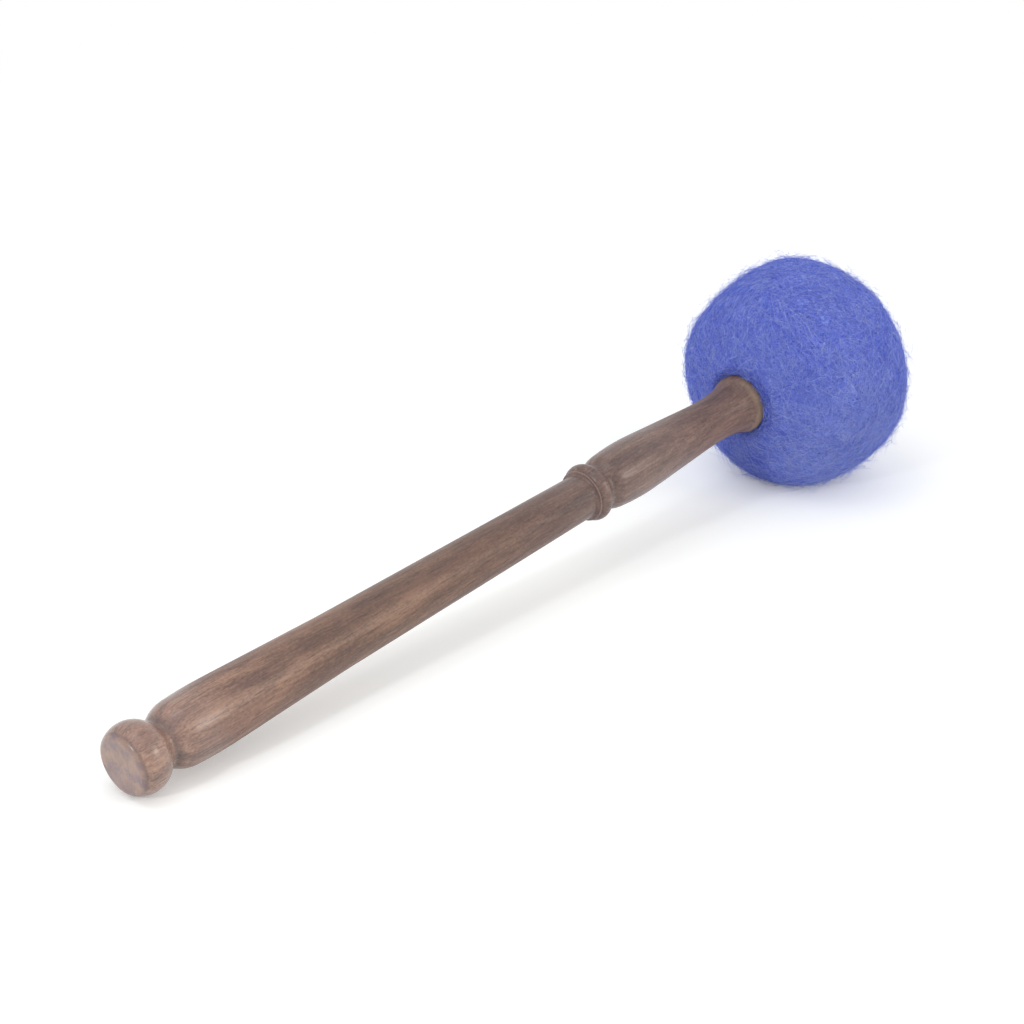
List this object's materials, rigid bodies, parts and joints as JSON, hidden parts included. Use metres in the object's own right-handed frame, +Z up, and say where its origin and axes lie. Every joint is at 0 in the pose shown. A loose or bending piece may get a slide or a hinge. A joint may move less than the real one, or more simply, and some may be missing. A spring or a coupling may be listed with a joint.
{
  "type": "singing bowl mallet",
  "caption": "Padded singing bowl mallet: a turned hardwood handle with knob, tapered grip, ring and flared collar, and a thick round wool felt head.",
  "frame": {"origin": "on the level surface that the mallet lies on, under the middle of its bounding box", "axes": "+X from the knob to the head, level; +Z up; the handle rises towards the head by 5.2 degrees as it lies"},
  "size_m": [0.3492, 0.08, 0.0796],
  "materials": {
    "walnut": "dark brown hardwood, thin satin finish",
    "dried_glue": "clear amber",
    "softwood": "bare, as turned",
    "raw_wool": "undyed carded wool",
    "blue_felt": "dyed wool felt with loose curly fibres"
  },
  "bodies": {
    "root": {"handle": "walnut", "tenon_glue": "dried_glue", "head_core": "softwood", "wool_wadding": "raw_wool", "felt_skin": "blue_felt"}
  },
  "joints": []
}
